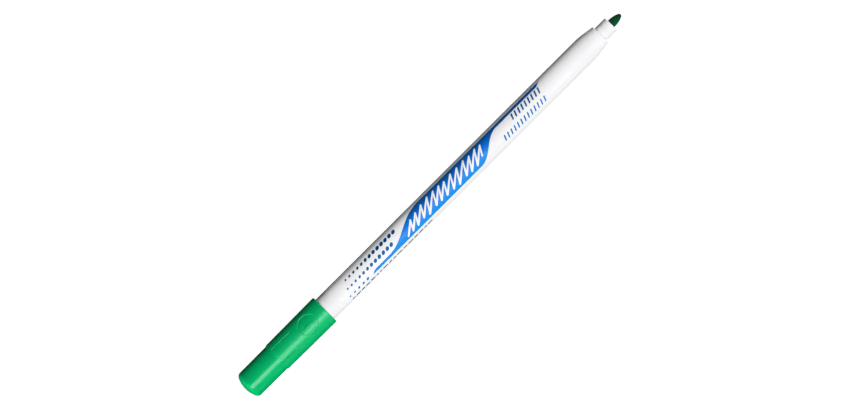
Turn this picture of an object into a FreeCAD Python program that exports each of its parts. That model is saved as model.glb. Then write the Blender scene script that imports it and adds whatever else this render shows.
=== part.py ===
import FreeCAD, Part
import math
import os

import Sketcher

# A slim whiteboard marker with its cap posted on the rear of the barrel. The pen lies along X with
# the nib towards +X and +Z up. The origin is under the middle of its length, on the surface that it
# lies on. Every piece is turned about the pen's axis, and its own frame starts at its rear end.

DRIVING_SIZES = [
    # alias, millimetres or degrees, what it is
    ("barrel_length", 132.7, "barrel, rear end to front face"),
    ("barrel_diameter", 8.0, "barrel outside, over its whole visible length"),
    ("barrel_wall", 0.8, "barrel wall"),
    ("tail_step", 0.2, "barrel surface to the tail that the cap's land grips"),
    ("tail_front_step", 0.04, "barrel surface to the tail's wider front end"),
    ("tail_gap", 0.1, "tail's front end to the cap's mouth, along the pen"),
    ("tail_lead", 0.3, "chamfer on the tail's rear edge"),
    ("shoulder_length", 6.86, "front shoulder, start of its curve to the front face"),
    ("shoulder_blend", 1.7, "tangent length of the curve between barrel and shoulder"),
    ("shoulder_drop", 0.8, "barrel surface to the shoulder's front edge"),
    ("shoulder_round", 0.2, "rounding of the shoulder's front edge"),
    ("collar_length", 6.5, "thick front of the barrel that holds the nib holder"),
    ("collar_lead", 1.2, "cone between the barrel's bore and the collar"),
    ("rib_count", 6, "ribs inside the barrel that centre the reservoir"),
    ("rib_height", 0.3, "rib, barrel bore to the reservoir's film"),
    ("rib_width", 0.5, "rib width"),
    ("nozzle_length", 4.4, "nib holder in front of the barrel"),
    ("nozzle_step", 0.7, "shoulder's front edge to the nozzle's surface"),
    ("nozzle_round", 0.2, "rounding of the nozzle's front edge"),
    ("neck_length", 0.3, "shank left bare between the barrel and the nozzle"),
    ("shank_length", 11.0, "nib holder inside the barrel"),
    ("shank_step", 0.2, "nozzle surface to the shank's surface"),
    ("shank_lead", 0.3, "chamfer on the shank's rear edge"),
    ("vent_count", 4, "air vents along the nib's bore"),
    ("vent_width", 0.4, "vent width"),
    ("vent_depth", 0.25, "vent depth"),
    ("nib_diameter", 2.7, "nib"),
    ("nib_reach", 4.05, "nib in front of the nozzle"),
    ("nib_flank_radius", 7.0, "curve of the nib's flank"),
    ("nib_tip_radius", 0.7, "rounding of the nib's tip"),
    ("nib_dip", 8.5, "nib inside the reservoir"),
    ("nib_rear_chamfer", 0.4, "chamfer on the nib's rear edge"),
    ("wrap_thickness", 0.1, "film round the reservoir"),
    ("reservoir_gap", 0.3, "free length between the reservoir and the end plug"),
    ("plug_rim_length", 0.8, "rim of the end plug behind the barrel"),
    ("plug_rim_inset", 0.1, "tail surface to the rim's edge"),
    ("plug_rim_chamfer", 0.1, "chamfer on the rim"),
    ("plug_grip_length", 8.0, "part of the plug pressed into the barrel"),
    ("plug_stem_length", 10.0, "stem that keeps the reservoir forward"),
    ("plug_stem_diameter", 4.4, "stem outside"),
    ("plug_bore_diameter", 3.0, "blind bore in the stem"),
    ("plug_bore_depth", 16.0, "depth of that bore"),
    ("plug_dimple_diameter", 2.4, "moulding dimple in the rim's rear face"),
    ("plug_dimple_depth", 0.25, "depth of the dimple"),
    ("cap_length", 33.0, "cap, closed end to mouth"),
    ("cap_neck_length", 13.2, "slimmer closed part of the cap, up to the step"),
    ("cap_end_wall", 1.2, "cap wall at the middle of the closed end"),
    ("cap_end_side_wall", 0.975, "side wall beside the closed end"),
    ("cap_neck_wall", 1.015, "side wall of the slimmer part beside the step"),
    ("cap_skirt_wall", 0.69, "side wall of the skirt beside the step"),
    ("cap_mouth_wall", 0.85, "side wall of the skirt at the mouth"),
    ("cap_dome_radius", 8.5, "curve of the closed end"),
    ("cap_corner_radius", 1.6, "rounding round the closed end"),
    ("cap_cove_length", 0.85, "shallow cove that rises to the step"),
    ("cap_cove_rise", 0.08, "rise of the cove"),
    ("cap_mouth_round", 0.35, "rounding of the mouth's outer edge"),
    ("cap_mouth_lead", 0.2, "chamfer inside the mouth"),
    ("cap_ledge_offset", 0.2, "outer step to the inner ledge that the pen stops on"),
    ("cap_ledge_width", 0.3, "width of that ledge"),
    ("cap_land_length", 2.0, "land that grips the tail"),
    ("cap_land_lead", 0.8, "cone from the land to the wide bore"),
    ("groove_count", 6, "moulded grooves round the skirt"),
    ("groove_length", 8.4, "groove, step to where it runs out"),
    ("groove_width", 0.3, "groove width"),
    ("groove_depth", 0.18, "groove depth at the step"),
    ("groove_angle", 32.4, "first groove, from straight up towards +Y"),
    ("liner_length", 9.6, "seal liner inside the cap's closed end"),
    ("liner_base", 1.0, "base of the liner"),
    ("liner_wall", 0.475, "wall of the liner's tube"),
    ("post_clearance", 0.05, "cap's land round the tail, on the radius"),
    ("mouth_clearance", 0.06, "cap's wide bore round the barrel, on the radius"),
    ("post_gap", 0.05, "cap's ledge to the plug's rim, along the pen"),
    ("seal_clearance", 0.025, "liner round the nozzle, on the radius"),
]

# Each of these follows from the driving sizes. Radii run from the barrel's surface inwards, and
# outwards through the cap.
FOLLOWING_SIZES = [
    ("barrel_radius", "Sizes.barrel_diameter / 2", "barrel outside"),
    ("bore_radius", "barrel_radius - Sizes.barrel_wall", "barrel inside"),
    ("tail_radius", "barrel_radius - Sizes.tail_step", "tail under the cap"),
    ("shoulder_radius", "barrel_radius - Sizes.shoulder_drop", "shoulder's front edge"),
    ("nozzle_radius", "shoulder_radius - Sizes.nozzle_step", "nozzle"),
    ("shank_radius", "nozzle_radius - Sizes.shank_step", "nib holder's shank"),
    ("nib_radius", "Sizes.nib_diameter / 2", "nib"),
    (
        "shank_chamfer",
        "min(Sizes.shank_lead; (shank_radius - nib_radius) / 2)",
        "shank's rear chamfer, at most half of its wall",
    ),
    ("wrap_radius", "bore_radius - Sizes.rib_height", "outside of the film"),
    ("core_radius", "wrap_radius - Sizes.wrap_thickness", "fibre core"),
    ("rim_radius", "tail_radius - Sizes.plug_rim_inset", "end plug's rim"),
    ("chamber_radius", "tail_radius - Sizes.cap_ledge_width", "cap inside its slimmer part"),
    ("land_radius", "tail_radius + Sizes.post_clearance", "cap's land"),
    ("wide_radius", "barrel_radius + Sizes.mouth_clearance", "cap's wide bore"),
    ("cap_end_radius", "chamber_radius + Sizes.cap_end_side_wall", "cap beside its closed end"),
    ("cap_neck_radius", "chamber_radius + Sizes.cap_neck_wall", "cap behind the step"),
    ("cap_skirt_radius", "wide_radius + Sizes.cap_skirt_wall", "cap in front of the step"),
    ("cap_mouth_radius", "wide_radius + Sizes.cap_mouth_wall", "cap at its mouth"),
    ("seal_radius", "nozzle_radius + Sizes.seal_clearance", "liner inside"),
    # the shoulder: a cone, and a curve tangent to it and to the barrel
    ("shoulder_run", "Sizes.shoulder_length - Sizes.shoulder_blend", "cone to where it meets the barrel"),
    ("shoulder_angle", "atan(Sizes.shoulder_drop / shoulder_run)", "slope of the cone"),
    ("shoulder_curve", "Sizes.shoulder_blend / tan(shoulder_angle / 2)", "radius of the curve"),
    ("shoulder_start", "Sizes.barrel_length - Sizes.shoulder_length", "start of the curve"),
    (
        "cone_start",
        "Sizes.barrel_length - shoulder_run + Sizes.shoulder_blend * cos(shoulder_angle)",
        "end of the curve",
    ),
    (
        "cone_radius",
        "barrel_radius - Sizes.shoulder_blend * sin(shoulder_angle)",
        "radius at the end of the curve",
    ),
    (
        "cone_end_radius",
        "shoulder_radius + Sizes.shoulder_round * tan(shoulder_angle)",
        "radius where the front edge's rounding starts",
    ),
    # the nib's ogive: a flank curve and a tip curve that meet tangent
    ("tip_centre", "Sizes.nib_reach - Sizes.nib_tip_radius", "centre of the tip, from the nozzle"),
    ("flank_less_tip", "Sizes.nib_flank_radius - Sizes.nib_tip_radius", "between the two centres"),
    ("flank_less_nib", "Sizes.nib_flank_radius - nib_radius", "flank's centre below the axis"),
    ("flank_run", "sqrt(flank_less_tip ^ 2 - flank_less_nib ^ 2)", "between the centres, along the pen"),
    ("tip_blend", "Sizes.nib_tip_radius * flank_run / flank_less_tip", "meeting point past the tip's centre"),
    ("tip_blend_radius", "Sizes.nib_tip_radius * flank_less_nib / flank_less_tip", "radius there"),
    # the cap's closed end: a dome and a corner that meet tangent
    ("dome_less_corner", "Sizes.cap_dome_radius - Sizes.cap_corner_radius", "between the two centres"),
    ("corner_height", "cap_end_radius - Sizes.cap_corner_radius", "corner's centre above the axis"),
    ("dome_run", "sqrt(dome_less_corner ^ 2 - corner_height ^ 2)", "between the centres, along the pen"),
    ("corner_centre", "Sizes.cap_dome_radius - dome_run", "corner's centre from the closed end"),
    (
        "dome_edge",
        "corner_centre - Sizes.cap_corner_radius * dome_run / dome_less_corner",
        "where dome and corner meet, from the closed end",
    ),
    (
        "dome_edge_radius",
        "corner_height + Sizes.cap_corner_radius * corner_height / dome_less_corner",
        "radius there",
    ),
    (
        "cove_radius",
        "(Sizes.cap_cove_length ^ 2 + Sizes.cap_cove_rise ^ 2) / (2 * Sizes.cap_cove_rise)",
        "curve of the cove",
    ),
    # lengths inside the pen
    ("plug_depth", "Sizes.plug_grip_length + Sizes.plug_stem_length", "end plug inside the barrel"),
    (
        "core_length",
        "Sizes.barrel_length - Sizes.shank_length - plug_depth - Sizes.reservoir_gap",
        "reservoir, from the plug's gap to the shank",
    ),
    ("holder_length", "Sizes.shank_length + Sizes.nozzle_length", "nib holder"),
    ("nib_held", "holder_length + Sizes.nib_dip", "nib behind the nozzle's front face"),
    ("nib_length", "nib_held + Sizes.nib_reach", "nib"),
    ("ledge_depth", "Sizes.cap_neck_length + Sizes.cap_ledge_offset", "closed end to the inner ledge"),
    ("land_end", "ledge_depth + Sizes.cap_land_length", "closed end to the end of the land"),
    # places along the pen from the cap's closed end, and then from the origin
    ("barrel_start", "ledge_depth + Sizes.post_gap + Sizes.plug_rim_length", "barrel's rear end"),
    ("tail_length", "Sizes.cap_length - barrel_start + Sizes.tail_gap", "tail, up to the cap's mouth"),
    ("tail_grip", "land_end - barrel_start", "straight rear part of the tail, inside the cap's land"),
    (
        "total_length",
        "barrel_start + Sizes.barrel_length + Sizes.nozzle_length + Sizes.nib_reach",
        "closed end to nib tip",
    ),
    ("cap_place", "-total_length / 2", "cap's frame"),
    ("liner_place", "cap_place + Sizes.cap_end_wall", "liner's frame"),
    ("barrel_place", "cap_place + barrel_start", "barrel's frame"),
    ("plug_place", "barrel_place - Sizes.plug_rim_length", "end plug's frame"),
    ("core_place", "barrel_place + plug_depth + Sizes.reservoir_gap", "reservoir's frame"),
    ("holder_place", "barrel_place + Sizes.barrel_length - Sizes.shank_length", "nib holder's frame"),
    ("nib_place", "holder_place - Sizes.nib_dip", "nib's frame"),
    ("axis_height", "cap_mouth_radius", "pen's axis above the surface that it lies on"),
]

LEFT = "left"  # an arc whose centre is on the left of its run from corner to corner
RIGHT = "right"
RIB_ROOT = "Sizes.barrel_wall / 2"  # how far a rib is sunk into the barrel's wall
CUT_MARGIN = "0.5"  # how far a groove's cutter stands out of the cap


def fill_sheet(doc, name, rows):
    sheet = doc.addObject("Spreadsheet::Sheet", name)
    for row, (alias, content, note) in enumerate(rows, start=1):
        sheet.set(f"A{row}", note)
        sheet.set(f"B{row}", str(content))
        sheet.setAlias(f"B{row}", alias)
    return sheet


def value(expression):
    return float(doc.getObject("Fits").evalExpression(expression))


def origin_feature(body, role):
    return next(feature for feature in body.Origin.OriginFeatures if feature.Role == role)


def new_piece(name, place):
    """A body whose own X axis is the pen's axis, and whose rear end is at place."""
    body = doc.addObject("PartDesign::Body", name)
    body.Label = name
    body.setExpression("Placement.Base.x", place)
    body.setExpression("Placement.Base.z", "Fits.axis_height")
    return body


def bind(sketch, constraint, expression):
    index = sketch.addConstraint(constraint)
    sketch.setExpression(f"Constraints[{index}]", expression)


def arc_between(start, stop, radius, side):
    """The short arc from start to stop with its centre on the given side of its run."""
    chord = stop - start
    across = FreeCAD.Vector(-chord.y, chord.x, 0).normalize()
    depth = math.sqrt(radius**2 - (chord.Length / 2) ** 2)
    centre = (start + stop) / 2 + across * (depth if side == LEFT else -depth)
    first, last = (start, stop) if side == LEFT else (stop, start)
    angles = [math.atan2(point.y - centre.y, point.x - centre.x) for point in (first, last)]
    return Part.ArcOfCircle(Part.Circle(centre, FreeCAD.Vector(0, 0, 1), radius), *angles)


def outline(body, name, corners):
    """A closed sketch on the XZ plane. Each corner is (along, out), and (along, out, radius, side)
    where the edge that leaves it is an arc."""
    sketch = body.newObject("Sketcher::SketchObject", name)
    sketch.AttachmentSupport = [(origin_feature(body, "XZ_Plane"), "")]
    sketch.MapMode = "FlatFace"
    points = [FreeCAD.Vector(value(along), value(out), 0) for along, out, *_ in corners]
    edges = []
    for start, stop, (_, _, *arc) in zip(points, points[1:] + points[:1], corners):
        if not arc:
            edges.append((sketch.addGeometry(Part.LineSegment(start, stop), False), 1, 2))
            continue
        radius, side = arc
        edge = sketch.addGeometry(arc_between(start, stop, value(radius), side), False)
        bind(sketch, Sketcher.Constraint("Radius", edge, value(radius)), radius)
        edges.append((edge, 1, 2) if side == LEFT else (edge, 2, 1))
    following = edges[1:] + edges[:1]
    for point, (along, out, *_), (edge, first, last), (after, start, _) in zip(
        points, corners, edges, following
    ):
        sketch.addConstraint(Sketcher.Constraint("Coincident", edge, last, after, start))
        bind(sketch, Sketcher.Constraint("DistanceX", -1, 1, edge, first, point.x), along)
        bind(sketch, Sketcher.Constraint("DistanceY", -1, 1, edge, first, point.y), out)
    return sketch


def turned(body, corners):
    """The outline turned once round the pen's axis."""
    sketch = outline(body, f"{body.Name}_outline", corners)
    revolution = body.newObject("PartDesign::Revolution", f"{body.Name}_turned")
    revolution.Profile = sketch
    revolution.ReferenceAxis = (sketch, ["H_Axis"])
    revolution.Angle = 360
    return revolution


def repeated_round(body, feature, count):
    pattern = body.newObject("PartDesign::PolarPattern", f"{feature.Name}_pattern")
    pattern.Originals = [feature]
    pattern.Axis = (origin_feature(body, "X_Axis"), [""])
    pattern.Angle = 360
    pattern.setExpression("Occurrences", count)
    body.Tip = pattern


def across_the_plane(body, kind, name, sketch, width):
    """A pad or pocket of the sketch, half its width to each side of the sketch's plane."""
    feature = body.newObject(kind, name)
    feature.Profile = sketch
    feature.Midplane = True
    feature.setExpression("Length", width)
    return feature


def make_barrel():
    body = new_piece("barrel", "Fits.barrel_place")
    front = "Sizes.barrel_length"
    collar_start = f"{front} - Sizes.collar_length"
    turned(
        body,
        [
            ("0", "Fits.bore_radius"),
            ("0", "Fits.tail_radius - Sizes.tail_lead"),
            ("Sizes.tail_lead", "Fits.tail_radius"),
            ("Fits.tail_grip", "Fits.tail_radius"),
            ("Fits.tail_length", "Fits.barrel_radius - Sizes.tail_front_step"),
            ("Fits.tail_length", "Fits.barrel_radius"),
            ("Fits.shoulder_start", "Fits.barrel_radius", "Fits.shoulder_curve", RIGHT),
            ("Fits.cone_start", "Fits.cone_radius"),
            (f"{front} - Sizes.shoulder_round", "Fits.cone_end_radius", "Sizes.shoulder_round", RIGHT),
            (front, "Fits.shoulder_radius - Sizes.shoulder_round"),
            (front, "Fits.shank_radius"),
            (collar_start, "Fits.shank_radius"),
            (f"{collar_start} - Sizes.collar_lead", "Fits.bore_radius"),
        ],
    )
    rib_start = "Fits.plug_depth + Sizes.reservoir_gap"
    rib_end = f"{rib_start} + Fits.core_length"
    rib_root = f"Fits.bore_radius + {RIB_ROOT}"
    rib_outline = outline(
        body,
        "rib_outline",
        [
            (rib_start, "Fits.wrap_radius"),
            (rib_end, "Fits.wrap_radius"),
            (rib_end, rib_root),
            (rib_start, rib_root),
        ],
    )
    rib = across_the_plane(body, "PartDesign::Pad", "rib", rib_outline, "Sizes.rib_width")
    repeated_round(body, rib, "Sizes.rib_count")
    return body


def make_nib_holder():
    body = new_piece("nib_holder", "Fits.holder_place")
    neck_end = "Sizes.shank_length + Sizes.neck_length"
    front = "Fits.holder_length"
    turned(
        body,
        [
            ("0", "Fits.nib_radius"),
            ("0", "Fits.shank_radius - Fits.shank_chamfer"),
            ("Fits.shank_chamfer", "Fits.shank_radius"),
            (neck_end, "Fits.shank_radius"),
            (neck_end, "Fits.nozzle_radius"),
            (f"{front} - Sizes.nozzle_round", "Fits.nozzle_radius", "Sizes.nozzle_round", RIGHT),
            (front, "Fits.nozzle_radius - Sizes.nozzle_round"),
            (front, "Fits.nib_radius"),
        ],
    )
    vent_top = "Fits.nib_radius + Sizes.vent_depth"
    vent_outline = outline(
        body,
        "vent_outline",
        [
            ("0", "Fits.nib_radius / 2"),
            (front, "Fits.nib_radius / 2"),
            (front, vent_top),
            ("0", vent_top),
        ],
    )
    vent = across_the_plane(body, "PartDesign::Pocket", "vent", vent_outline, "Sizes.vent_width")
    repeated_round(body, vent, "Sizes.vent_count")
    return body


def make_nib():
    body = new_piece("nib", "Fits.nib_place")
    tip_centre = "Fits.nib_held + Fits.tip_centre"
    turned(
        body,
        [
            ("0", "0"),
            ("0", "Fits.nib_radius - Sizes.nib_rear_chamfer"),
            ("Sizes.nib_rear_chamfer", "Fits.nib_radius"),
            (f"{tip_centre} - Fits.flank_run", "Fits.nib_radius", "Sizes.nib_flank_radius", RIGHT),
            (f"{tip_centre} + Fits.tip_blend", "Fits.tip_blend_radius", "Sizes.nib_tip_radius", RIGHT),
            ("Fits.nib_length", "0"),
        ],
    )
    return body


def make_ink_reservoir():
    """The fibre core, with the socket that the nib is pushed into."""
    body = new_piece("ink_reservoir", "Fits.core_place")
    socket = "Fits.core_length - Sizes.nib_dip"
    turned(
        body,
        [
            ("0", "0"),
            ("0", "Fits.core_radius"),
            ("Fits.core_length", "Fits.core_radius"),
            ("Fits.core_length", "Fits.nib_radius"),
            (f"{socket} + Sizes.nib_rear_chamfer", "Fits.nib_radius"),
            (socket, "Fits.nib_radius - Sizes.nib_rear_chamfer"),
            (socket, "0"),
        ],
    )
    return body


def make_reservoir_wrap():
    body = new_piece("reservoir_wrap", "Fits.core_place")
    turned(
        body,
        [
            ("0", "Fits.core_radius"),
            ("0", "Fits.wrap_radius"),
            ("Fits.core_length", "Fits.wrap_radius"),
            ("Fits.core_length", "Fits.core_radius"),
        ],
    )
    return body


def make_end_plug():
    body = new_piece("end_plug", "Fits.plug_place")
    rim = "Sizes.plug_rim_length"
    grip_end = f"{rim} + Sizes.plug_grip_length"
    stem_end = f"{rim} + Fits.plug_depth"
    turned(
        body,
        [
            ("Sizes.plug_dimple_depth", "0"),
            ("Sizes.plug_dimple_depth", "Sizes.plug_dimple_diameter / 2 - Sizes.plug_dimple_depth"),
            ("0", "Sizes.plug_dimple_diameter / 2"),
            ("0", "Fits.rim_radius - Sizes.plug_rim_chamfer"),
            ("Sizes.plug_rim_chamfer", "Fits.rim_radius"),
            (rim, "Fits.rim_radius"),
            (rim, "Fits.bore_radius"),
            (grip_end, "Fits.bore_radius"),
            (grip_end, "Sizes.plug_stem_diameter / 2"),
            (stem_end, "Sizes.plug_stem_diameter / 2"),
            (stem_end, "Sizes.plug_bore_diameter / 2"),
            (f"{stem_end} - Sizes.plug_bore_depth", "Sizes.plug_bore_diameter / 2"),
            (f"{stem_end} - Sizes.plug_bore_depth", "0"),
        ],
    )
    return body


def make_cap():
    body = new_piece("cap", "Fits.cap_place")
    step = "Sizes.cap_neck_length"
    cove = f"{step} - Sizes.cap_cove_length"
    mouth = "Sizes.cap_length"
    round_start = f"{mouth} - Sizes.cap_mouth_round"
    turned(
        body,
        [
            ("0", "0", "Sizes.cap_dome_radius", RIGHT),
            ("Fits.dome_edge", "Fits.dome_edge_radius", "Sizes.cap_corner_radius", RIGHT),
            ("Fits.corner_centre", "Fits.cap_end_radius"),
            (cove, "Fits.cap_neck_radius", "Fits.cove_radius", LEFT),
            (step, "Fits.cap_neck_radius + Sizes.cap_cove_rise"),
            (step, "Fits.cap_skirt_radius"),
            (round_start, "Fits.cap_mouth_radius", "Sizes.cap_mouth_round", RIGHT),
            (mouth, "Fits.cap_mouth_radius - Sizes.cap_mouth_round"),
            (mouth, "Fits.wide_radius + Sizes.cap_mouth_lead"),
            (f"{mouth} - Sizes.cap_mouth_lead", "Fits.wide_radius"),
            ("Fits.land_end + Sizes.cap_land_lead", "Fits.wide_radius"),
            ("Fits.land_end", "Fits.land_radius"),
            ("Fits.ledge_depth", "Fits.land_radius"),
            ("Fits.ledge_depth", "Fits.chamber_radius"),
            ("Sizes.cap_end_wall", "Fits.chamber_radius"),
            ("Sizes.cap_end_wall", "0"),
        ],
    )
    groove_end = f"{step} + Sizes.groove_length"
    skirt_rise = f"(Fits.cap_mouth_radius - Fits.cap_skirt_radius) / ({round_start} - {step})"
    clear_radius = f"Fits.cap_mouth_radius + {CUT_MARGIN}"
    groove_outline = outline(
        body,
        "groove_outline",
        [
            (step, "Fits.cap_skirt_radius - Sizes.groove_depth"),
            (groove_end, f"Fits.cap_skirt_radius + Sizes.groove_length * {skirt_rise}"),
            (groove_end, clear_radius),
            (step, clear_radius),
        ],
    )
    tilt = FreeCAD.Rotation(FreeCAD.Vector(-1, 0, 0), value("Sizes.groove_angle"))
    groove_outline.AttachmentOffset = FreeCAD.Placement(FreeCAD.Vector(), tilt)
    groove_outline.setExpression("AttachmentOffset.Rotation.Angle", "Sizes.groove_angle")
    groove = across_the_plane(body, "PartDesign::Pocket", "groove", groove_outline, "Sizes.groove_width")
    repeated_round(body, groove, "Sizes.groove_count")
    return body


def make_cap_liner():
    """The seal cup. Its base is pressed into the cap, and its tube closes on the nozzle."""
    body = new_piece("cap_liner", "Fits.liner_place")
    turned(
        body,
        [
            ("0", "0"),
            ("0", "Fits.chamber_radius"),
            ("Sizes.liner_base", "Fits.chamber_radius"),
            ("Sizes.liner_base", "Fits.seal_radius + Sizes.liner_wall"),
            ("Sizes.liner_length", "Fits.seal_radius + Sizes.liner_wall"),
            ("Sizes.liner_length", "Fits.seal_radius"),
            ("Sizes.liner_base", "Fits.seal_radius"),
            ("Sizes.liner_base", "0"),
        ],
    )
    return body


doc = FreeCAD.newDocument("whiteboard_marker")
fill_sheet(doc, "Sizes", DRIVING_SIZES)
fill_sheet(doc, "Fits", [(alias, f"={formula}", note) for alias, formula, note in FOLLOWING_SIZES])
doc.recompute()

pieces = [
    make_barrel(),
    make_nib_holder(),
    make_nib(),
    make_ink_reservoir(),
    make_reservoir_wrap(),
    make_end_plug(),
    make_cap(),
    make_cap_liner(),
]
doc.recompute()

for item in doc.Objects:
    if "Invalid" in item.State or "Error" in item.State:
        raise RuntimeError(f"{item.Name} failed: {item.State}")
for piece in pieces:
    if piece.Shape.isNull() or not piece.Shape.isValid() or len(piece.Shape.Solids) != 1:
        raise RuntimeError(f"{piece.Label} is not one valid solid")

os.makedirs("parts", exist_ok=True)
for piece in pieces:
    piece.Shape.exportStep(f"parts/{piece.Label}.step")
    box = piece.Shape.optimalBoundingBox()
    print(
        f"{piece.Label}: volume {piece.Shape.Volume:.2f}, x {box.XMin:.3f} to {box.XMax:.3f}, "
        f"y {box.YMin:.3f} to {box.YMax:.3f}, z {box.ZMin:.3f} to {box.ZMax:.3f}"
    )
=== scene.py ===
import math
import random

import bmesh
import bpy
from mathutils import Matrix, Vector


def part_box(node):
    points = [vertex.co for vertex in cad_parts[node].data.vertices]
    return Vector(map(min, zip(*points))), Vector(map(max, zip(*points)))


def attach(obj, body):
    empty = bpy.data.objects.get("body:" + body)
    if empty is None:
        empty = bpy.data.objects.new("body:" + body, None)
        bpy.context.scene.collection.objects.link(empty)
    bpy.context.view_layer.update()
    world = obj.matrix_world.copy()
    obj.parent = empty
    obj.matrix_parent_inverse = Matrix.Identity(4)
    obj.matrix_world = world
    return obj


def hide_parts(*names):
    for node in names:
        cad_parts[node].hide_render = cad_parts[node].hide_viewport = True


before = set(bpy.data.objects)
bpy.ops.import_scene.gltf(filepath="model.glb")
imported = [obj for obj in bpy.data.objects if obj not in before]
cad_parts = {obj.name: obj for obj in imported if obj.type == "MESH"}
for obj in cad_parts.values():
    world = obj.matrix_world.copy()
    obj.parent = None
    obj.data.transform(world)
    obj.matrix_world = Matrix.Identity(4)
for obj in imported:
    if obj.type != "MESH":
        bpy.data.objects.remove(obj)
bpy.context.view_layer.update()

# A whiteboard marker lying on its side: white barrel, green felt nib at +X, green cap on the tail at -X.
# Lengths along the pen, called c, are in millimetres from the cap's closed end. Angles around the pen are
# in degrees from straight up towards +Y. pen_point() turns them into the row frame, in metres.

MM = 0.001
CAP_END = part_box("cap")[0].x
NIB_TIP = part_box("nib")[1].x
AXIS_HEIGHT = (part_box("barrel")[0].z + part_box("barrel")[1].z) / 2
MIDDLE = Vector(((CAP_END + NIB_TIP) / 2, 0, AXIS_HEIGHT))


def along(node, side):
    """Where a CAD node starts (side 0) or ends (side 1), as a length c."""
    return (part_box(node)[side].x - CAP_END) / MM


# ---------------------------------------------------------------- sizes, in millimetres

BARREL_START, BARREL_END = along("barrel", 0), along("barrel", 1)  # ends, as lengths c
BARREL_RADIUS = 4.0
TAIL_RADIUS = 3.8
BORE_RADIUS = 3.2
CAP_MOUTH = along("cap", 1)
SKIRT_START = 13.2
SKIRT_START_RADIUS = 4.75
SKIRT_END_RADIUS = 4.91
MOUTH_ROUND = 0.35
GROOVE_END = 21.6
GROOVE_DEPTH = 0.22
GROOVE_HALF_FLOOR, GROOVE_SIDE = 0.12, 0.10
GROOVE_ANGLES = [32.4 + 60 * i for i in range(6)]
MARK_CENTRE, MARK_ANGLE = 26.3, 5.5
MARK_RADIUS, MARK_SIDE, MARK_DEPTH = 3.25, 0.13, 0.16
GRID, MARK_CELL = 0.6, 0.065  # spacing of the skirt's rings, and of the grid over the mark
DROP_PLACE = (0.8, -1.0)  # from the mark's centre, along and round the pen
DROP_RADIUS, DROP_TIP, DROP_HEIGHT = 0.95, 1.9, 0.03
NOZZLE_START = BARREL_END + 0.15
NOZZLE_END = along("nib_holder", 1)
NOZZLE_RADIUS = 2.5
NIB_RADIUS = 1.35
VENT_ANGLES = [0, 90, 180, 270]
VENT_DEPTH = 0.25
PRINT_LEAN = 0.35  # how far printed shapes lean along the pen, for each millimetre of their height

# The band runs from a thin tail to a front stripe. Its edges are angles, low and high, and each edge rises
# from the one to the other over a stretch given as its start and its length.
BAND_START, BAND_END = 50.3, 123.6
BAND_TAIL = (-45.0, -30.5)
BAND_STRIPE = (37.0, 52.5)
BAND_RISES = ((95.0, 11.0), (57.5, 17.0))


def pen_point(c, radius, degrees):
    """A point of the row frame, in metres, from a length, a radius in millimetres and an angle."""
    a = math.radians(degrees)
    return Vector((CAP_END + c * MM, radius * math.sin(a) * MM, AXIS_HEIGHT + radius * math.cos(a) * MM))


def arc(centre, radius, start, end, steps=10):
    """Points of an arc in the (c, radius) plane; angles in degrees from +c towards +radius."""
    turns = [math.radians(start + (end - start) * i / steps) for i in range(steps + 1)]
    return [(centre[0] + radius * math.cos(t), centre[1] + radius * math.sin(t)) for t in turns]


def run(start, end, step):
    """Points of a straight line, at most step apart, without its last point."""
    count = max(1, math.ceil(abs(end[0] - start[0]) / step))
    return [(start[0] + (end[0] - start[0]) * i / count, start[1] + (end[1] - start[1]) * i / count)
            for i in range(count)]


def smooth(value):
    """0 below 0, 1 above 1, and a smooth rise between."""
    value = min(1.0, max(0.0, value))
    return value * value * (3 - 2 * value)


# ---------------------------------------------------------------- mesh making

def make_object(name, verts, faces, sharp_angle=30):
    """A smooth-shaded object whose edges are crisp where its faces turn by more than sharp_angle."""
    mesh = bpy.data.meshes.new(name)
    mesh.from_pydata([tuple(v) for v in verts], [], faces)
    work = bmesh.new()
    work.from_mesh(mesh)
    bmesh.ops.recalc_face_normals(work, faces=work.faces)
    work.to_mesh(mesh)
    work.free()
    mesh.shade_smooth()
    mesh.set_sharp_from_angle(angle=math.radians(sharp_angle))
    obj = bpy.data.objects.new(name, mesh)
    bpy.context.scene.collection.objects.link(obj)
    return obj


def lathe(name, outline, angles, relief=None):
    """A closed surface of revolution about the pen's axis, from a closed outline of (c, radius) points.
    A point on the axis becomes one vertex. relief(c, radius, degrees) returns the radius to use there."""
    verts, rings, faces = [], [], []
    for c, radius in outline:
        ring_angles = [0] if radius == 0 else angles
        rings.append([len(verts) + i for i in range(len(ring_angles))])
        for a in ring_angles:
            verts.append(pen_point(c, relief(c, radius, a) if relief and radius else radius, a))
    if len(rings[0]) > 1:
        rings.append(rings[0])
    for low, high in zip(rings, rings[1:]):
        for i in range(len(angles)):
            j = (i + 1) % len(angles)
            corners = [low[i % len(low)], low[j % len(low)], high[j % len(high)], high[i % len(high)]]
            faces.append(list(dict.fromkeys(corners)))
    return make_object(name, verts, faces)


def even_angles(count):
    """Angles spaced evenly round the pen."""
    return [360 * i / count for i in range(count)]


def angles_with_detail(count, centres, offsets, radius):
    """Even angles, and extra ones at the given offsets in millimetres of arc from each centre."""
    margin = 0.4
    per_mm = math.degrees(1 / radius)
    extra = [(c + sign * o * per_mm) % 360 for c in centres for o in offsets for sign in (-1, 1)]
    clear = max(offsets) * per_mm + margin
    kept = [a for a in even_angles(count)
            if all(abs((a - c + 180) % 360 - 180) > clear for c in centres)]
    return sorted(kept + extra)


def arc_distance(degrees, centres, radius):
    """Millimetres of arc from an angle to the nearest of the centres."""
    return min(abs((degrees - c + 180) % 360 - 180) for c in centres) * math.radians(1) * radius


# ---------------------------------------------------------------- materials

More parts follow.
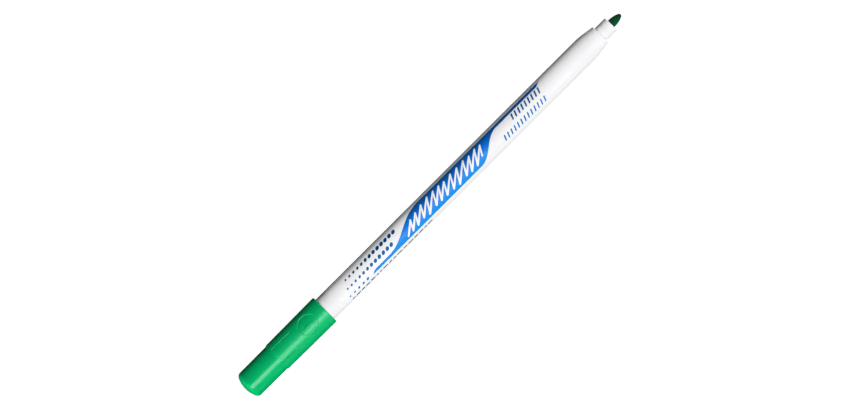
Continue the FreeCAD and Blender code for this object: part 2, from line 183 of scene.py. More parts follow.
class Finish:
    """A node material on the Principled shader. Its textures follow the object's own coordinates."""

    def __init__(self, name, roughness, **sockets):
        self.material = bpy.data.materials.new(name)
        self.material.use_nodes = True
        self.tree = self.material.node_tree
        self.shader = self.tree.nodes["Principled BSDF"]
        self.shader.inputs["Roughness"].default_value = roughness
        for socket, value in sockets.items():
            self.shader.inputs[socket.replace("_", " ")].default_value = value
        self.position = self.add("ShaderNodeTexCoord").outputs["Object"]

    def add(self, kind, **inputs):
        """A new node, with its inputs set to values or linked to other nodes' outputs."""
        node = self.tree.nodes.new(kind)
        for socket, value in inputs.items():
            self.feed(node.inputs[socket.replace("_", " ")], value)
        return node

    def feed(self, socket, value):
        if isinstance(value, bpy.types.NodeSocket):
            self.tree.links.new(value, socket)
        else:
            socket.default_value = value

    def scaled(self, x=1.0, y=1.0, z=1.0):
        """The position in millimetres, stretched along an axis where its factor is under 1."""
        return self.add("ShaderNodeMapping", Vector=self.position, Scale=(x / MM, y / MM, z / MM)).outputs[0]

    def noise(self, per_mm, detail=3.0, stretch=(1.0, 1.0, 1.0), roughness=0.5):
        """Noise from 0 to 1, with per_mm features to the millimetre."""
        return self.add("ShaderNodeTexNoise", Vector=self.scaled(*stretch), Scale=per_mm, Detail=detail,
                        Roughness=roughness).outputs[0]

    def ramp(self, value, stops):
        """A colour or grey by value, from (position, colour) stops."""
        node = self.add("ShaderNodeValToRGB", Fac=value)
        elements = node.color_ramp.elements
        while len(elements) < len(stops):
            elements.new(1.0)
        for element, (position, colour) in zip(elements, stops):
            element.position = position
            element.color = (*colour, 1.0) if isinstance(colour, tuple) else (colour, colour, colour, 1.0)
        return node.outputs[0]

    def between(self, value, low, high, out_low=0.0, out_high=1.0):
        """value mapped from low..high to out_low..out_high, and held at the ends."""
        node = self.add("ShaderNodeMapRange", Value=value)
        for index, number in enumerate((low, high, out_low, out_high), start=1):
            node.inputs[index].default_value = number
        return node.outputs[0]

    def coordinate(self, axis):
        """One coordinate of the row frame, in millimetres: 0 is X, 1 is Y and 2 is Z."""
        return self.add("ShaderNodeSeparateXYZ", Vector=self.scaled()).outputs[axis]

    def mix(self, factor, first, second):
        node = self.tree.nodes.new("ShaderNodeMix")
        node.data_type = "RGBA"
        self.feed(node.inputs["Factor"], factor)
        for socket, colour in (("A", first), ("B", second)):
            target = [s for s in node.inputs if s.name == socket and s.type == "RGBA"][0]
            self.feed(target, colour if isinstance(colour, bpy.types.NodeSocket) else (*colour, 1.0))
        return [s for s in node.outputs if s.type == "RGBA"][0]

    def math(self, operation, first, second):
        node = self.tree.nodes.new("ShaderNodeMath")
        node.operation = operation
        self.feed(node.inputs[0], first)
        self.feed(node.inputs[1], second)
        return node.outputs[0]

    def colour(self, value):
        self.feed(self.shader.inputs["Base Color"], value)

    def rough(self, value):
        self.feed(self.shader.inputs["Roughness"], value)

    def bumps(self, *layers):
        """Bumps on bumps, from (height, depth in millimetres) pairs."""
        normal = None
        for height, depth in layers:
            node = self.add("ShaderNodeBump", Height=height, Distance=depth * MM)
            if normal is not None:
                self.feed(node.inputs["Normal"], normal)
            normal = node.outputs[0]
        self.feed(self.shader.inputs["Normal"], normal)


def white_plastic():
    """Satin white polypropylene: faint flow clouds, drawn lines from the extrusion and a fine skin."""
    finish = Finish("satin_white_plastic", 0.4, IOR=1.49, Specular_IOR_Level=0.14)
    clouds = finish.noise(0.16, detail=4, stretch=(0.4, 1, 1))
    finish.colour(finish.ramp(clouds, [(0.3, (0.79, 0.795, 0.81)), (0.7, (0.85, 0.852, 0.86))]))
    lines = finish.noise(5.0, detail=3, stretch=(0.02, 1, 1))
    finish.rough(finish.between(lines, 0.3, 0.7, 0.36, 0.46))
    skin = finish.noise(9.0, detail=2)
    finish.bumps((lines, 0.006), (skin, 0.002))
    return finish.material


def green_plastic(name, skirt_at=None):
    """Moulded green plastic. Its skin is glossy up to skirt_at, a length c, and duller from there on.
    Without skirt_at it is dull all over."""
    finish = Finish(name, 0.25, IOR=1.5, Specular_IOR_Level=0.37)
    clouds = finish.noise(0.35, detail=5, stretch=(0.5, 1, 1))
    flow = finish.noise(1.6, detail=4, stretch=(0.25, 1, 1))
    body = finish.ramp(clouds, [(0.3, (0.0005, 0.357, 0.112)), (0.7, (0.001, 0.375, 0.119))])
    finish.colour(finish.mix(finish.between(flow, 0.5, 0.8, 0.0, 0.3), body, (0.002, 0.405, 0.132)))
    grain = finish.noise(7.0, detail=2)
    if skirt_at is None:
        finish.rough(finish.between(flow, 0.3, 0.7, 0.36, 0.46))
        finish.bumps((grain, 0.006))
        return finish.material
    start = CAP_END / MM + skirt_at
    skirt = finish.between(finish.coordinate(0), start - 0.05, start + 0.05)
    shine = finish.between(flow, 0.3, 0.7, 0.19, 0.22)
    dull = finish.math("MULTIPLY", skirt, 0.10)
    finish.rough(finish.math("ADD", shine, dull))
    frost = finish.math("MULTIPLY", finish.noise(4.5, detail=4), finish.math("ADD", skirt, 0.35))
    finish.bumps((flow, 0.0012), (frost, 0.002), (grain, 0.001))
    return finish.material


def felt():
    """Pressed felt soaked with green ink: fibres along the nib, darker between them, and painted shade at the
    tip.
    """
    finish = Finish("ink_soaked_felt", 0.8, Sheen_Weight=0.02, Sheen_Roughness=0.6, Specular_IOR_Level=0.06)
    fibres = finish.noise(9.0, detail=5, stretch=(0.12, 1, 1), roughness=0.7)
    clumps = finish.noise(2.2, detail=3, stretch=(0.4, 1, 1))
    soaked = finish.ramp(fibres, [(0.3, (0.0003, 0.020, 0.006)), (0.62, (0.001, 0.078, 0.022)),
                                  (0.8, (0.005, 0.15, 0.050))])
    wet = finish.mix(finish.between(clumps, 0.35, 0.7, 0.0, 0.55), soaked, (0.0003, 0.030, 0.009))
    # Painted shade: the colour darkens over the last 1.8 mm to the tip, where the rounded point turns away
    # from the light.
    painted_tip_shade_length = 1.8
    tip = finish.between(finish.coordinate(0), NIB_TIP / MM - painted_tip_shade_length, NIB_TIP / MM, 0.0, 0.7)
    finish.colour(finish.mix(tip, wet, (0.0006, 0.018, 0.010)))
    finish.bumps((clumps, 0.05), (fibres, 0.06))
    return finish.material


def natural_liner():
    """Uncoloured polyethylene: milky, with swirls from the mould."""
    finish = Finish("natural_polyethylene", 0.42, IOR=1.51, Subsurface_Weight=0.25,
                    Subsurface_Radius=(0.0006, 0.0005, 0.0004))
    swirl = finish.noise(0.6, detail=5)
    finish.colour(finish.ramp(swirl, [(0.3, (0.62, 0.63, 0.60)), (0.7, (0.75, 0.76, 0.73))]))
    finish.bumps((swirl, 0.02), (finish.noise(8.0), 0.004))
    return finish.material


def fibre_core():
    """The bundled polyester core of the reservoir, a deeper green where the ink is wettest."""
    finish = Finish("fibre_core", 0.9, Sheen_Weight=0.3)
    fibres = finish.noise(7.0, detail=4, stretch=(0.03, 1, 1), roughness=0.7)
    wet = finish.noise(0.08, detail=3)
    dry = finish.ramp(fibres, [(0.3, (0.06, 0.28, 0.13)), (0.7, (0.18, 0.52, 0.30))])
    finish.colour(finish.mix(finish.between(wet, 0.35, 0.65), dry, (0.01, 0.16, 0.06)))
    finish.bumps((fibres, 0.05))
    return finish.material


def clear_film():
    """The thin wrapped film round the core, with creases along it."""
    finish = Finish("wrapped_film", 0.2, IOR=1.5, Coat_Weight=0.3)
    creases = finish.noise(1.5, detail=4, stretch=(0.05, 1, 1))
    finish.colour(finish.ramp(creases, [(0.35, (0.20, 0.50, 0.32)), (0.65, (0.38, 0.66, 0.48))]))
    finish.rough(finish.between(creases, 0.3, 0.7, 0.14, 0.3))
    finish.bumps((creases, 0.05))
    return finish.material


def ink(name, stops):
    """Printed blue ink with fine specks. stops are (Y in millimetres, colour), from the lowest Y up."""
    finish = Finish(name, 0.4, IOR=1.5, Specular_IOR_Level=0.2)
    low, high = stops[0][0], stops[-1][0]
    place = finish.between(finish.coordinate(1), low, high)
    shades = finish.ramp(place, [((y - low) / (high - low), colour) for y, colour in stops])
    speck = finish.noise(6.0, detail=3)
    finish.colour(finish.mix(finish.between(speck, 0.58, 0.8, 0.0, 0.25), shades, (0.015, 0.23, 0.68)))
    finish.rough(finish.between(speck, 0.3, 0.7, 0.36, 0.44))
    finish.bumps((speck, 0.003))
    return finish.material


# ---------------------------------------------------------------- plastic and felt pieces

def dress(obj, body, slot, material, *nodes):
    """Gives a piece its finish, lets it ride on its body and stand for its CAD nodes. slot is not used."""
    obj.data.materials.clear()
    obj.data.materials.append(material)
    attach(obj, body)
    if nodes:
        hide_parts(*nodes)
    return obj


def make_barrel(material):
    """The barrel: a tail that the cap posts on, a straight tube, a long shoulder and the collar inside it."""
    rear_edge = ((0, 0.3), (0.15, 0.12), (0.4, 0))  # (length, drop) from the tail's corner
    tail_cone, tail_front, tail_front_step = 15.4, CAP_MOUTH + 0.1, 0.04
    shoulder_start, shoulder_curve = 140.09, 22.06
    cone_angle, edge, edge_height = 8.81, 0.2, 3.033
    collar_length, collar_lead, collar_radius, bevel = 6.5, 1.2, 2.3, 0.08
    collar_start = BARREL_END - collar_length
    outline = [(BARREL_START, BORE_RADIUS)]
    outline += [(BARREL_START + c, TAIL_RADIUS - drop) for c, drop in rear_edge]
    outline += [(tail_cone, TAIL_RADIUS), (tail_front, BARREL_RADIUS - tail_front_step)]
    outline += [(tail_front, BARREL_RADIUS)]
    outline += run((tail_front + 0.1, BARREL_RADIUS), (shoulder_start, BARREL_RADIUS), 4.0)
    outline += arc((shoulder_start, BARREL_RADIUS - shoulder_curve), shoulder_curve, 90, 90 - cone_angle, 12)
    outline += arc((BARREL_END - edge, edge_height), edge, 90 - cone_angle, 0, 6)
    outline += [(BARREL_END, collar_radius + bevel), (BARREL_END - bevel, collar_radius)]
    outline += [(collar_start, collar_radius), (collar_start - collar_lead, BORE_RADIUS)]
    obj = lathe("barrel_shell", outline, even_angles(180))
    return dress(obj, "barrel", "barrel_white", material, "barrel")


def make_nozzle(material):
    """The nib holder: a shank pressed into the barrel, and a nozzle. Four air vents run along its bore."""
    shank_radius, shank_lead, shank_drop, nozzle_bevel = 2.3, 0.8, 0.35, 0.05
    edge, bore_bevel, half_vent, soft_side = 0.2, 0.1, 0.17, 0.05
    rear, bore_edge = along("nib_holder", 0), NIB_RADIUS + bore_bevel
    vent_offsets = (0.0, 0.1, 0.17, 0.18, 0.195, 0.21, 0.22, 0.26)

    def vents(c, radius, degrees):
        """Deepens the bore at the vents, and leaves the rest as it is."""
        if radius > bore_edge:
            return radius
        distance = arc_distance(degrees, VENT_ANGLES, NIB_RADIUS)
        cut = 1 - smooth((distance - half_vent) / soft_side)
        return max(radius, radius + (NIB_RADIUS + VENT_DEPTH - radius) * cut)

    outline = [(rear, bore_edge), (rear, shank_radius - shank_drop), (rear + shank_lead, shank_radius)]
    outline += [(NOZZLE_START, shank_radius), (NOZZLE_START, NOZZLE_RADIUS - nozzle_bevel)]
    outline += [(NOZZLE_START + nozzle_bevel, NOZZLE_RADIUS)]
    outline += run((NOZZLE_START + 0.5, NOZZLE_RADIUS), (NOZZLE_END - edge, NOZZLE_RADIUS), 0.6)
    outline += arc((NOZZLE_END - edge, NOZZLE_RADIUS - edge), edge, 90, 0, 6)
    outline += [(NOZZLE_END, NIB_RADIUS + 0.3), (NOZZLE_END, bore_edge)]
    outline += [(NOZZLE_END - bore_bevel, NIB_RADIUS), (rear + bore_bevel, NIB_RADIUS)]
    angles = sorted(set(angles_with_detail(120, VENT_ANGLES, vent_offsets, NIB_RADIUS)))
    obj = lathe("nozzle_shell", outline, angles, vents)
    return dress(obj, "barrel", "holder_white", material, "nib_holder")


def make_nib(material):
    """The felt nib: a rod with a bullet point. Its fibres lie a little below the CAD's surface in places."""
    flank_radius, flank_length, ball_radius, meeting_angle = 7.0, 3.097, 0.7, 63.72
    cylinder_end, chamfer, dent = NOZZLE_END + 0.563, 0.4, 0.012
    rear, tip = along("nib", 0), along("nib", 1)
    flank_end = math.degrees(math.asin(flank_length / flank_radius))
    rng = random.Random(7)
    waves = [(math.floor(rng.uniform(12, 60)), rng.uniform(0, 360), rng.uniform(1.0, 6.0)) for _ in range(14)]

    def fibres(c, radius, degrees):
        """Sinks the surface by up to dent of its radius. Each wave goes round a whole number of times."""
        lump = sum(math.sin(math.radians(turns * degrees + phase) + c * pitch)
                   for turns, phase, pitch in waves)
        return radius * (1 - dent * (0.5 + 0.5 * math.tanh(lump / 2.5)))

    outline = [(rear, 0), (rear, NIB_RADIUS - chamfer), (rear + chamfer, NIB_RADIUS)]
    outline += run((rear + 0.5, NIB_RADIUS), (NOZZLE_END - 0.5, NIB_RADIUS), 4.0)
    outline += run((NOZZLE_END - 0.5, NIB_RADIUS), (cylinder_end, NIB_RADIUS), 0.12)
    outline += arc((cylinder_end, NIB_RADIUS - flank_radius), flank_radius, 90, 90 - flank_end, 26)
    outline += arc((tip - ball_radius, 0), ball_radius, meeting_angle, 0, 10)[1:-1]
    outline += [(tip, 0)]
    obj = lathe("felt_nib", outline, even_angles(144), fibres)
    return dress(obj, "barrel", "nib_felt", material, "nib")


def make_plug(material):
    """The end plug: a rim with a shallow gate dimple, a grip pressed into the barrel and a hollow stem."""
    rear, front = along("end_plug", 0), along("end_plug", 1)
    dimple, dimple_depth, rim_radius, rim_bevel, seat_bevel = 1.2, 0.25, 3.7, 0.1, 0.05
    grip_end, grip_chamfer = BARREL_START + 8.0, 0.4
    stem_radius, stem_root, stem_chamfer, bore, bore_end = 2.2, 0.2, 0.3, 1.5, front - 16.0
    outline = [(rear + dimple_depth, 0), (rear + dimple_depth, dimple - dimple_depth), (rear, dimple)]
    outline += [(rear, rim_radius - rim_bevel), (rear + rim_bevel, rim_radius)]
    outline += [(BARREL_START - seat_bevel, rim_radius), (BARREL_START, rim_radius - seat_bevel)]
    outline += [(BARREL_START, BORE_RADIUS), (grip_end - grip_chamfer, BORE_RADIUS)]
    outline += [(grip_end, BORE_RADIUS - grip_chamfer)]
    outline += [(grip_end, stem_radius + stem_root), (grip_end + stem_root, stem_radius)]
    outline += [(front - stem_chamfer, stem_radius), (front, stem_radius - stem_chamfer)]
    outline += [(front, bore), (bore_end, bore), (bore_end - 0.4, 0)]
    obj = lathe("plug_shell", outline, even_angles(96))
    return dress(obj, "barrel", "plug_green", material, "end_plug")


def skirt_radius(c):
    """The skirt's outside radius at a length."""
    slope = (SKIRT_END_RADIUS - SKIRT_START_RADIUS) / (CAP_MOUTH - MOUTH_ROUND - SKIRT_START)
    return SKIRT_START_RADIUS + (c - SKIRT_START) * slope


def mark_depth(c, degrees):
    """Depth of the round recess moulded into the skirt. A plain drop in it stands a little proud."""
    x = c - MARK_CENTRE
    y = math.radians((degrees - MARK_ANGLE + 180) % 360 - 180) * skirt_radius(c)
    reach = math.hypot(x, y)
    if reach > MARK_RADIUS + MARK_SIDE:
        return 0.0
    recess = 1 - smooth((reach - MARK_RADIUS + MARK_SIDE) / MARK_SIDE)
    drop_x, drop_y = x - DROP_PLACE[0], y - DROP_PLACE[1]
    turn = math.atan2(drop_y, drop_x)
    edge = DROP_RADIUS + DROP_TIP * max(0.0, -math.cos(turn)) ** 5
    drop = 1 - smooth((math.hypot(drop_x, drop_y) - edge) / MARK_SIDE)
    return MARK_DEPTH * recess - (MARK_DEPTH + DROP_HEIGHT) * drop


def make_cap(material):
    """The cap: a domed end with a gate mark, a plain neck, a step, and a skirt with six grooves that run out
    and a round recessed mark."""
    gate_mark, gate_radius = [(0.06, 0), (0.06, 0.42), (0.03, 0.56)], 0.6
    dome, corner, corner_centre = 8.5, 1.6, (2.2275, 2.875)
    neck_start, neck_end = (3.0, 4.478), (12.35, 4.515)
    cove, cove_length = 4.556, 0.85
    skirt_inside = 4.6  # a radius between the skirt's inner and outer surfaces
    wide_bore, wide_end, mouth_lead = 4.06, 16.2, 0.2
    land, land_front, land_rear = 3.85, 15.4, 13.4
    chamber, end_wall = 3.5, 1.2
    closest_angles = 0.12
    gate = math.degrees(math.asin(gate_radius / dome))
    corner_start = math.degrees(math.atan2(corner_centre[1], corner_centre[0] - dome))
    cove_end = math.degrees(math.asin(cove_length / cove)) - 90

    def relief(c, radius, degrees):
        """Cuts the grooves and the mark into the skirt's outside, and leaves the rest as it is."""
        if radius < skirt_inside or c < SKIRT_START:
            return radius
        depth = GROOVE_DEPTH * math.sqrt(max(0.0, GROOVE_END - c) / (GROOVE_END - SKIRT_START))
        distance = arc_distance(degrees, GROOVE_ANGLES, SKIRT_START_RADIUS)
        groove = depth * (1 - smooth((distance - GROOVE_HALF_FLOOR) / GROOVE_SIDE))
        return radius - groove - mark_depth(c, degrees)

    outline = gate_mark + arc((dome, 0), dome, 180 - gate, corner_start, 14)
    outline += arc(corner_centre, corner, corner_start, 90, 12)[1:]
    outline += run(neck_start, neck_end, 2.0)
    outline += arc((neck_end[0], neck_end[1] + cove), cove, -90, cove_end, 6)
    outline += [(SKIRT_START, SKIRT_START_RADIUS - 0.04), (SKIRT_START + 0.04, SKIRT_START_RADIUS)]
    mark_start, mark_end = (MARK_CENTRE + sign * (MARK_RADIUS + MARK_SIDE) for sign in (-1, 1))
    stations = [SKIRT_START + 0.4, mark_start, mark_end, CAP_MOUTH - MOUTH_ROUND]
    for start, end, step in zip(stations, stations[1:], (GRID, MARK_CELL, GRID)):
        outline += run((start, skirt_radius(start)), (end, skirt_radius(end)), step)
    outline += arc((CAP_MOUTH - MOUTH_ROUND, SKIRT_END_RADIUS - MOUTH_ROUND), MOUTH_ROUND, 90, 0, 8)
    outline += [(CAP_MOUTH, wide_bore + mouth_lead), (CAP_MOUTH - mouth_lead, wide_bore)]
    outline += [(wide_end, wide_bore), (land_front, land), (land_rear, land)]
    outline += [(land_rear, chamber), (end_wall, chamber), (end_wall, 0)]
    groove_offsets = (0.0, 0.06, 0.12, 0.14, 0.155, 0.17, 0.185, 0.20, 0.22, 0.28)
    angles = angles_with_detail(144, GROOVE_ANGLES, groove_offsets, SKIRT_START_RADIUS)
    half_mark = math.degrees((MARK_RADIUS + MARK_SIDE) / SKIRT_START_RADIUS)
    cell = math.degrees(MARK_CELL / SKIRT_START_RADIUS)
    first = math.ceil((MARK_ANGLE - half_mark) / cell)
    last = math.floor((MARK_ANGLE + half_mark) / cell)
    angles = sorted(angles + [i * cell % 360 for i in range(first, last + 1)])
    angles = [a for a, b in zip(angles, angles[1:] + [angles[0] + 360]) if b - a > closest_angles]
    obj = lathe("cap_shell", outline, angles, relief)
    return dress(obj, "cap", "cap_green", material, "cap")


def make_liner(material):
    """The liner cup inside the cap, which closes on the nozzle when the cap is on the nib end."""
    start, end = along("cap_liner", 0), along("cap_liner", 1)
    base, base_radius, tube_radius, bore, bevel = start + 1.0, 3.5, 3.0, 2.525, 0.1
    lip, lip_depth, floor_radius = 2.7, 0.17, 2.4
    outline = [(start, 0), (start, base_radius - bevel), (start + bevel, base_radius)]
    outline += [(base - bevel, base_radius), (base, base_radius - bevel)]
    outline += [(base, tube_radius + bevel), (base + bevel, tube_radius)]
    outline += [(end - bevel, tube_radius), (end, tube_radius - bevel), (end, lip), (end - lip_depth, bore)]
    outline += [(base + bevel, bore), (base, floor_radius), (base, 0)]
    obj = lathe("liner_cup", outline, even_angles(96))
    return dress(obj, "cap", "liner_natural", material, "cap_liner")


# ---------------------------------------------------------------- print

def film(name, patches, slot, material, top=0.012, bottom=-0.01, lift=0.0):
    """Closed films of ink on the barrel. A patch is a grid: columns of (c, degrees) points, all as long.
    Its faces lie at top and bottom from the barrel's surface, and every second patch lies higher by lift."""
    verts, faces = [], []
    for number, patch in enumerate(patches):
        columns, rows = len(patch), len(patch[0])
        base = len(verts)
        for level in (top, bottom):
            radius = BARREL_RADIUS + level + lift * (number % 2)
            verts += [pen_point(c, radius, a) for column in patch for c, a in column]
        below = columns * rows

        def at(i, j, level=0):
            return base + level * below + i * rows + j

        for i in range(columns - 1):
            for j in range(rows - 1):
                faces.append([at(i, j), at(i + 1, j), at(i + 1, j + 1), at(i, j + 1)])
                faces.append([at(i, j, 1), at(i, j + 1, 1), at(i + 1, j + 1, 1), at(i + 1, j, 1)])
        rim = [(i, 0) for i in range(columns)] + [(columns - 1, j) for j in range(1, rows)]
        rim += [(i, rows - 1) for i in range(columns - 2, -1, -1)] + [(0, j) for j in range(rows - 2, 0, -1)]
        for (i, j), (k, m) in zip(rim, rim[1:] + rim[:1]):
            faces.append([at(i, j), at(i, j, 1), at(k, m, 1), at(k, m)])
    return dress(make_object(name, verts, faces), "barrel", slot, material)


def dot(c, degrees, width, cells=8):
    """A leaning oval, as a grid that fills it."""
    half_length, half_height = 0.48 * width, 0.46 * width
    columns = []
    for i in range(cells + 1):
        u = 2 * i / cells - 1
        column = []
        for j in range(cells + 1):
            v = 2 * j / cells - 1
            x = u * math.sqrt(1 - v * v / 2) * half_length
            y = v * math.sqrt(1 - u * u / 2) * half_height
            column.append((c + x + PRINT_LEAN * y, degrees + math.degrees(y / BARREL_RADIUS)))
        columns.append(column)
    return columns


def make_dots(material):
    """Three rows of dots. A row's first dot is the narrowest, and its dots grow towards the band."""
    narrowest, climb = 0.72, 0.25
    # a row: its first dot's length and angle, count, pitch, the dots until full width, and that width
    rows = ((43.3, 27.0, 13, 1.65, 8, 1.38), (42.0, -6.8, 12, 1.65, 8, 1.34), (41.1, -40.0, 5, 1.79, 4, 1.05))
    patches = []
    for start, degrees, count, pitch, growing, widest in rows:
        for i in range(count):
            width = narrowest + (widest - narrowest) * min(1.0, i / growing)
            patches.append(dot(start + pitch * i, degrees + climb * i, width))
    return film("print_dots", patches, "print_blue", material)


def band_edges(c):
    """The band's lower and upper edge at a length, in degrees."""
    return [tail + (stripe - tail) * smooth((c - start) / length)
            for tail, stripe, (start, length) in zip(BAND_TAIL, BAND_STRIPE, BAND_RISES)]


def make_band(material):
    """The blue band: a round-ended thin tail towards the cap, a full part, and a stripe along the side to
    the front, which ends on a slant."""
    spacing, rows, round_end, slant, slant_start = 0.25, 30, 1.6, 1.6, BAND_END - 8
    patch = []
    count = round((BAND_END - BAND_START) / spacing)
    for i in range(count + 1):
        c = BAND_START + (BAND_END - BAND_START) * i / count
        bottom, top = band_edges(c)
        top = bottom + (top - bottom) * math.sqrt(min(1.0, (c - BAND_START + 0.02) / round_end))
        lean = slant * smooth((c - slant_start) / (BAND_END - slant_start))
        steps = [bottom + (top - bottom) * j / rows for j in range(rows + 1)]
        patch.append([(c + lean * ((a - bottom) / (top - bottom) - 0.5), a) for a in steps])
    return film("print_band", [patch], "print_blue", material)


def leg(start, end, half_width, columns=28):
    """A straight stroke with round ends between two (length, arc) points in millimetres, as a grid."""
    narrowest = 0.02
    dx, dy = end[0] - start[0], end[1] - start[1]
    size = math.hypot(dx, dy)
    dx, dy = dx / size, dy / size
    patch = []
    for i in range(columns + 1):
        run_out = (size + 2 * half_width) * (1 - math.cos(math.pi * i / columns)) / 2 - half_width
        over = max(0.0, -run_out, run_out - size)
        half = max(narrowest, math.sqrt(max(0.0, half_width ** 2 - over ** 2)))
        across = [half * (j / 2 - 1) for j in range(5)]
        patch.append([(start[0] + dx * run_out - dy * w,
                       math.degrees((start[1] + dy * run_out + dx * w) / BARREL_RADIUS)) for w in across])
    return patch


def make_stroke(material):
    """A scribble to and fro along the band, as a marker's trace, in the barrel's white. It spells nothing."""
    start, end, slant, half_width = 66.5, 99.0, 0.85, 0.25
    reach, pitch = (0.50, 0.68), (1.05, 1.45)
    rng = random.Random(11)
    turns = []
    c, side = start, -1
    while c < end:
        bottom, top = band_edges(c)
        middle = math.radians(bottom + top) / 2 * BARREL_RADIUS
        y = side * math.radians(top - bottom) / 2 * BARREL_RADIUS * rng.uniform(*reach)
        turns.append((c + slant * y, middle + y))
        c += rng.uniform(*pitch)
        side = -side
    legs = [leg(a, b, half_width) for a, b in zip(turns, turns[1:])]
    return film("print_stroke", legs, "barrel_white", material, top=0.018, bottom=0.004, lift=0.004)


def dash(c, degrees, length, height, lean=PRINT_LEAN):
    """A short leaning dash that starts at a length c, as a grid."""
    columns = []
    for i in range(4):
        heights = [height * (j / 6 - 0.5) for j in range(7)]
        columns.append([(c + length * i / 3 + lean * y, degrees + math.degrees(y / BARREL_RADIUS))
                        for y in heights])
    return columns


def make_marks(material):
    """Plain dashes: two rows of leaning hatch at the front, and one thin broken line along the lower side."""
    pitch, hatch_length, hatch_height = 1.36, 0.56, 1.9
    patches = []
    for start, degrees, count in ((105.6, -26.5, 13), (111.4, 18.5, 9)):
        patches += [dash(start + pitch * i, degrees, hatch_length, hatch_height) for i in range(count)]
    line_start, line_end, line_angle, line_height, line_lean, line_gap = 41.0, 72.5, -64.5, 0.6, 0.1, 0.5
    rng = random.Random(3)
    c = line_start
    while c < line_end:
        length = rng.uniform(0.8, 2.2)
        patches.append(dash(c, line_angle, length, line_height, line_lean))
        c += length + line_gap
    return film("print_marks", patches, "print_blue", material)


# ---------------------------------------------------------------- studio

def make_stage():
    """A plain pale floor under the pen. It glows for the camera, and puts no light, reflection or shadow on
    the pen."""
    half, glow = 3.0, 1.2
    mesh = bpy.data.meshes.new("floor")
    corners = [(-half, -half, 0), (half, -half, 0), (half, half, 0), (-half, half, 0)]
    mesh.from_pydata(corners, [], [(0, 1, 2, 3)])
    floor = bpy.data.objects.new("floor", mesh)
    bpy.context.scene.collection.objects.link(floor)
    finish = Finish("pale_floor", 0.9, Emission_Strength=glow, Emission_Color=(1, 1, 1, 1))
    paper = finish.noise(0.05, detail=4)
    finish.colour(finish.ramp(paper, [(0.3, 0.09), (0.7, 0.11)]))
    mesh.materials.append(finish.material)
    floor.visible_diffuse = False
    floor.visible_glossy = False
    floor.visible_shadow = False


def make_surroundings():
    """A pale backdrop for the camera, and a dim even light for everything else."""
    white, dim_strength, pale_strength = (1, 1, 1, 1), 0.008, 1.3
    world = bpy.data.worlds.new("studio")
    bpy.context.scene.world = world
    world.use_nodes = True
    nodes, links = world.node_tree.nodes, world.node_tree.links
    dim = nodes["Background"]
    pale = nodes.new("ShaderNodeBackground")
    for node, strength in ((dim, dim_strength), (pale, pale_strength)):
        node.inputs["Color"].default_value = white
        node.inputs["Strength"].default_value = strength
    mixer = nodes.new("ShaderNodeMixShader")
    links.new(nodes.new("ShaderNodeLightPath").outputs["Is Camera Ray"], mixer.inputs[0])
    links.new(dim.outputs[0], mixer.inputs[1])
    links.new(pale.outputs[0], mixer.inputs[2])
    links.new(mixer.outputs[0], nodes["World Output"].inputs["Surface"])


def softbox(name, tilt, across, watts, length=1.4, distance=0.9, lean=0, diffuse=True, glossy=True,
            colour=(1.0, 1.0, 1.0)):
    """A soft light aimed at the pen's middle: tilt degrees from straight up towards +Y, then lean degrees
    towards +X. It is length metres long, along the pen, and across metres wide. It may be tinted, and may
    skip the matt (diffuse) or the glossy share of the shading."""
    data = bpy.data.lights.new(name, "AREA")
    data.shape = "RECTANGLE"
    data.size, data.size_y = length, across
    data.energy = watts
    data.color = colour
    lamp = bpy.data.objects.new(name, data)
    turned = Matrix.Rotation(math.radians(-tilt), 4, "X") @ Matrix.Rotation(math.radians(lean), 4, "Y")
    lamp.matrix_world = Matrix.Translation(MIDDLE) @ turned @ Matrix.Translation((0, 0, distance))
    lamp.visible_camera = False
    lamp.visible_diffuse = diffuse
    lamp.visible_glossy = glossy
    bpy.context.scene.collection.objects.link(lamp)


def set_response():
    """The Standard view with a gentle shoulder, so that white plastic keeps its shading near full white."""
    white_level = 1.2
    shoulder = ((0.30, 0.36), (0.60, 0.72), (0.70, 0.80), (0.80, 0.865), (0.90, 0.918), (0.96, 0.942))
    view = bpy.context.scene.view_settings
    view.view_transform = "Standard"
    view.use_curve_mapping = True
    view.curve_mapping.white_level = (white_level, white_level, white_level)
    combined = view.curve_mapping.curves[3]
    for x, y in shoulder:
        combined.points.new(x, y)
    view.curve_mapping.update()


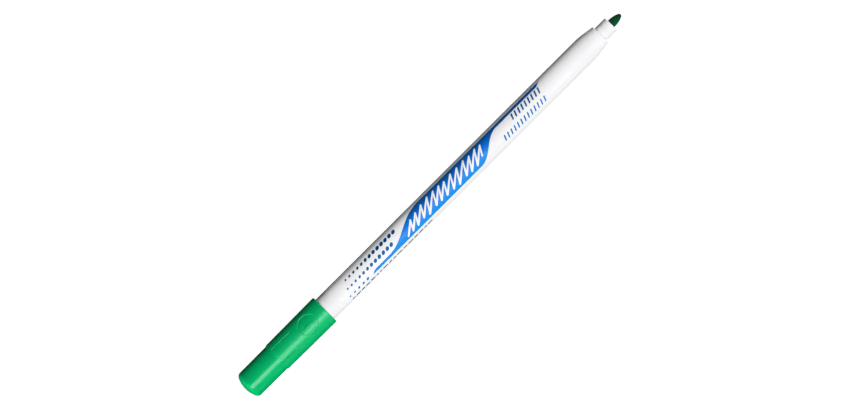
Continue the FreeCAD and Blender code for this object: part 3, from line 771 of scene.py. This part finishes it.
def make_camera():
    """Straight above, from far away, turned so that the pen rises to the right as in the photograph."""
    width_seen, distance, sensor = 0.252, 4.0, 36.0
    aim_x, aim_y, turn = -0.001326, -0.000080, -44.93
    data = bpy.data.cameras.new("camera")
    data.sensor_width = sensor
    data.lens = sensor * distance / width_seen
    data.dof.use_dof = False
    camera = bpy.data.objects.new("camera", data)
    camera.location = (aim_x, aim_y, AXIS_HEIGHT + distance)
    camera.rotation_euler = (0, 0, math.radians(turn))
    bpy.context.scene.collection.objects.link(camera)
    bpy.context.scene.camera = camera


def make_lights():
    """A key light, a long strip that only makes the highlight, fills at one side and at both ends, and a
    bounce from below."""
    softbox("key", -21.5, 0.22, 12.1, glossy=False)
    softbox("strip", -29, 0.44, 24.5, length=3.0, diffuse=False, colour=(0.84, 0.80, 1.0))
    softbox("side_fill", -84, 0.30, 2.8, glossy=False)
    softbox("bounce", 157, 0.40, 6.0, glossy=False)
    softbox("cap_end_fill", -25, 0.50, 9.0, length=0.5, lean=-86, glossy=False)
    softbox("nib_end_fill", -25, 0.50, 6.0, length=0.5, lean=86, glossy=False)


def make_print(white):
    """All that is printed on the barrel."""
    band_ink = ink("blue_ink", [(-3.0, (0.008, 0.205, 0.65)), (-1.0, (0.006, 0.185, 0.65)),
                                (0.5, (0.003, 0.145, 0.56)), (2.0, (0.002, 0.105, 0.44)),
                                (2.9, (0.002, 0.085, 0.34))])
    dot_ink = ink("deep_blue_ink", [(-3.6, (0.006, 0.06, 0.19)), (-3.0, (0.008, 0.16, 0.47)),
                                    (-0.3, (0.002, 0.093, 0.285)), (2.0, (0.001, 0.056, 0.185))])
    make_band(band_ink)
    make_stroke(white)
    make_dots(dot_ink)
    make_marks(dot_ink)


def finish_reservoir():
    """Materials for the two CAD nodes inside the barrel, whose shapes stay as they are."""
    for node, material in (("ink_reservoir", fibre_core()), ("reservoir_wrap", clear_film())):
        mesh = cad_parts[node].data
        mesh.materials.clear()
        mesh.materials.append(material)


def main():
    set_response()
    make_camera()
    make_stage()
    make_surroundings()
    make_lights()

    white = white_plastic()
    cap_green = green_plastic("moulded_green_cap", SKIRT_START)
    make_barrel(white)
    make_nozzle(white)
    make_nib(felt())
    make_plug(green_plastic("moulded_green_plug"))
    make_cap(cap_green)
    make_liner(natural_liner())
    make_print(white)
    finish_reservoir()


main()
